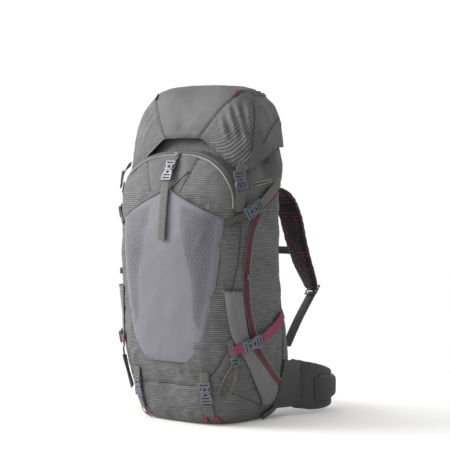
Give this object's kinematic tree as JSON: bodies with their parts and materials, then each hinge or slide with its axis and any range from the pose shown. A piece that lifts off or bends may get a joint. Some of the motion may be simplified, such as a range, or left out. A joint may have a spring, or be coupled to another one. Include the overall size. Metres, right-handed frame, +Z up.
{
  "type": "hiking backpack",
  "caption": "Tall framed hiking backpack with a domed lid, a stretch front pocket, side compression straps, padded shoulder straps and an open hip belt.",
  "frame": {"origin": "middle of the flat base, on the ground", "axes": "+Z up along the pack, +Y towards the wearer's back and harness, +X to the wearer's right, so the stretch pocket faces -Y"},
  "size_m": [0.3656, 0.4285, 0.688],
  "materials": {
    "ripstop": "crosshatch ripstop nylon",
    "plain_nylon": "plain coated nylon",
    "dark_nylon": "heavy dark nylon",
    "stretch_mesh": "stretch woven mesh",
    "side_stretch": "stretch woven cloth",
    "webbing": "ribbed nylon webbing",
    "accent_webbing": "ribbed nylon webbing",
    "buckle_plastic": "moulded acetal",
    "zip_tape": "coil zip",
    "accent_zip": "coil zip",
    "spacer_mesh": "foam under spacer mesh",
    "frame_steel": "spring steel wire",
    "frame_sheet": "polyethylene sheet"
  },
  "bodies": {
    "pack": {"base_panel": "dark_nylon", "packbag": "ripstop", "snow_collar": "plain_nylon", "front_pocket": "stretch_mesh", "front_zip": "zip_tape", "pocket_buckle": "buckle_plastic", "pocket_webbing": "webbing", "frame_sheet": "frame_sheet", "wire_frame": "frame_steel", "back_panel": "spacer_mesh", "lumbar_pad": "spacer_mesh", "side_pocket_left": "side_stretch", "side_pocket_right": "side_stretch", "side_zip_left": "accent_zip", "side_zip_right": "accent_zip", "upper_side_buckle_left": "buckle_plastic", "upper_side_buckle_right": "buckle_plastic", "lower_side_buckle_left": "buckle_plastic", "lower_side_buckle_right": "buckle_plastic", "base_buckle_left": "buckle_plastic", "base_buckle_right": "buckle_plastic", "lid_buckle_left": "buckle_plastic", "lid_buckle_right": "buckle_plastic", "upper_side_webbing_left": "webbing", "upper_side_webbing_right": "webbing", "lower_side_webbing_left": "accent_webbing", "lower_side_webbing_right": "accent_webbing", "base_webbing_left": "webbing", "base_webbing_right": "webbing", "shoulder_webbing_left": "webbing", "shoulder_webbing_right": "webbing", "load_lifter_left": "webbing", "load_lifter_right": "webbing"},
    "lid": {"lid_cover": "plain_nylon", "lid_floor": "plain_nylon", "lid_zip": "zip_tape", "lid_clip_left": "buckle_plastic", "lid_clip_right": "buckle_plastic"},
    "lid_zip_slider": {"lid_zip_slider": "buckle_plastic"},
    "front_zip_slider": {"front_zip_slider": "buckle_plastic"},
    "pocket_clip": {"pocket_clip": "buckle_plastic"},
    "haul_loop": {"haul_loop": "webbing"},
    "upper_side_clip_left": {"upper_side_clip_left": "buckle_plastic"},
    "lower_side_clip_left": {"lower_side_clip_left": "buckle_plastic"},
    "base_clip_left": {"base_clip_left": "buckle_plastic"},
    "side_zip_slider_left": {"side_zip_slider_left": "buckle_plastic"},
    "shoulder_strap_left": {"shoulder_strap_left": "spacer_mesh"},
    "sternum_strap_left": {"sternum_strap_left": "buckle_plastic"},
    "hip_belt_left": {"hip_wing_left": "dark_nylon", "hip_pocket_left": "dark_nylon", "hip_buckle_left": "buckle_plastic"},
    "upper_side_clip_right": {"upper_side_clip_right": "buckle_plastic"},
    "lower_side_clip_right": {"lower_side_clip_right": "buckle_plastic"},
    "base_clip_right": {"base_clip_right": "buckle_plastic"},
    "side_zip_slider_right": {"side_zip_slider_right": "buckle_plastic"},
    "shoulder_strap_right": {"shoulder_strap_right": "spacer_mesh"},
    "sternum_strap_right": {"sternum_strap_right": "buckle_plastic"},
    "hip_belt_right": {"hip_wing_right": "dark_nylon", "hip_pocket_right": "dark_nylon", "hip_buckle_right": "buckle_plastic"}
  },
  "joints": [
    {"name": "lid_hinge", "type": "hinge", "parent": "pack", "child": "lid", "pos_m": [0, 0.108, 0.562], "axis": [-1, 0, 0], "range_deg": [0, 110]},
    {"name": "lid_zip", "type": "slide", "parent": "lid", "child": "lid_zip_slider", "axis": [-1, 0, 0], "range_m": [0, 0.14]},
    {"name": "front_zip", "type": "hinge", "parent": "pack", "child": "front_zip_slider", "pos_m": [0, -0.1348, 0.3241], "axis": [0, 0.9446, -0.3282], "range_deg": [-22, 22]},
    {"name": "pocket_buckle", "type": "slide", "parent": "pack", "child": "pocket_clip", "axis": [0, -0.4418, -0.8971], "range_m": [0, 0.022], "deforming": ["pocket_webbing"]},
    {"name": "haul_loop", "type": "hinge", "parent": "pack", "child": "haul_loop", "pos_m": [0, 0.1005, 0.5], "axis": [1, 0, 0], "range_deg": [-30, 24]},
    {"name": "upper_side_buckle_left", "type": "slide", "parent": "pack", "child": "upper_side_clip_left", "axis": [-0.1995, 0.8426, 0.5003], "range_m": [0, 0.022], "deforming": ["upper_side_webbing_left"]},
    {"name": "lower_side_buckle_left", "type": "slide", "parent": "pack", "child": "lower_side_clip_left", "axis": [-0.2927, 0.894, 0.3391], "range_m": [0, 0.022], "deforming": ["lower_side_webbing_left"]},
    {"name": "base_buckle_left", "type": "slide", "parent": "pack", "child": "base_clip_left", "axis": [0, 0.2021, -0.9794], "range_m": [0, 0.022], "deforming": ["base_webbing_left"]},
    {"name": "side_zip_left", "type": "hinge", "parent": "pack", "child": "side_zip_slider_left", "pos_m": [-0.2187, 0.2877, 0.3008], "axis": [0.9896, 0.1422, 0.0214], "range_deg": [-17, 17]},
    {"name": "shoulder_left", "type": "hinge", "parent": "pack", "child": "shoulder_strap_left", "pos_m": [-0.064, 0.108, 0.468], "axis": [1, 0, 0], "range_deg": [-8, 15], "deforming": ["shoulder_webbing_left", "load_lifter_left"]},
    {"name": "sternum_height_left", "type": "slide", "parent": "shoulder_strap_left", "child": "sternum_strap_left", "axis": [0, -0.1959, 0.9806], "range_m": [-0.025, 0.025]},
    {"name": "hip_belt_left", "type": "hinge", "parent": "pack", "child": "hip_belt_left", "pos_m": [-0.132, 0.156, 0], "axis": [0, 0, 1], "range_deg": [-3, 45]},
    {"name": "upper_side_buckle_right", "type": "slide", "parent": "pack", "child": "upper_side_clip_right", "axis": [0.1995, 0.8426, 0.5003], "range_m": [0, 0.022], "deforming": ["upper_side_webbing_right"]},
    {"name": "lower_side_buckle_right", "type": "slide", "parent": "pack", "child": "lower_side_clip_right", "axis": [0.2927, 0.894, 0.3391], "range_m": [0, 0.022], "deforming": ["lower_side_webbing_right"]},
    {"name": "base_buckle_right", "type": "slide", "parent": "pack", "child": "base_clip_right", "axis": [0, 0.2021, -0.9794], "range_m": [0, 0.022], "deforming": ["base_webbing_right"]},
    {"name": "side_zip_right", "type": "hinge", "parent": "pack", "child": "side_zip_slider_right", "pos_m": [0.2187, 0.2877, 0.3008], "axis": [0.9896, -0.1422, -0.0214], "range_deg": [-17, 17]},
    {"name": "shoulder_right", "type": "hinge", "parent": "pack", "child": "shoulder_strap_right", "pos_m": [0.064, 0.108, 0.468], "axis": [1, 0, 0], "range_deg": [-8, 15], "deforming": ["shoulder_webbing_right", "load_lifter_right"]},
    {"name": "sternum_height_right", "type": "slide", "parent": "shoulder_strap_right", "child": "sternum_strap_right", "axis": [0, -0.1959, 0.9806], "range_m": [-0.025, 0.025]},
    {"name": "hip_belt_right", "type": "hinge", "parent": "pack", "child": "hip_belt_right", "pos_m": [0.132, 0.156, 0], "axis": [0, 0, 1], "range_deg": [-45, 3]}
  ],
  "couplings": [
    {"joint": "shoulder_left", "follows": "shoulder_right", "ratio": 1},
    {"joint": "sternum_height_left", "follows": "sternum_height_right", "ratio": 1}
  ]
}
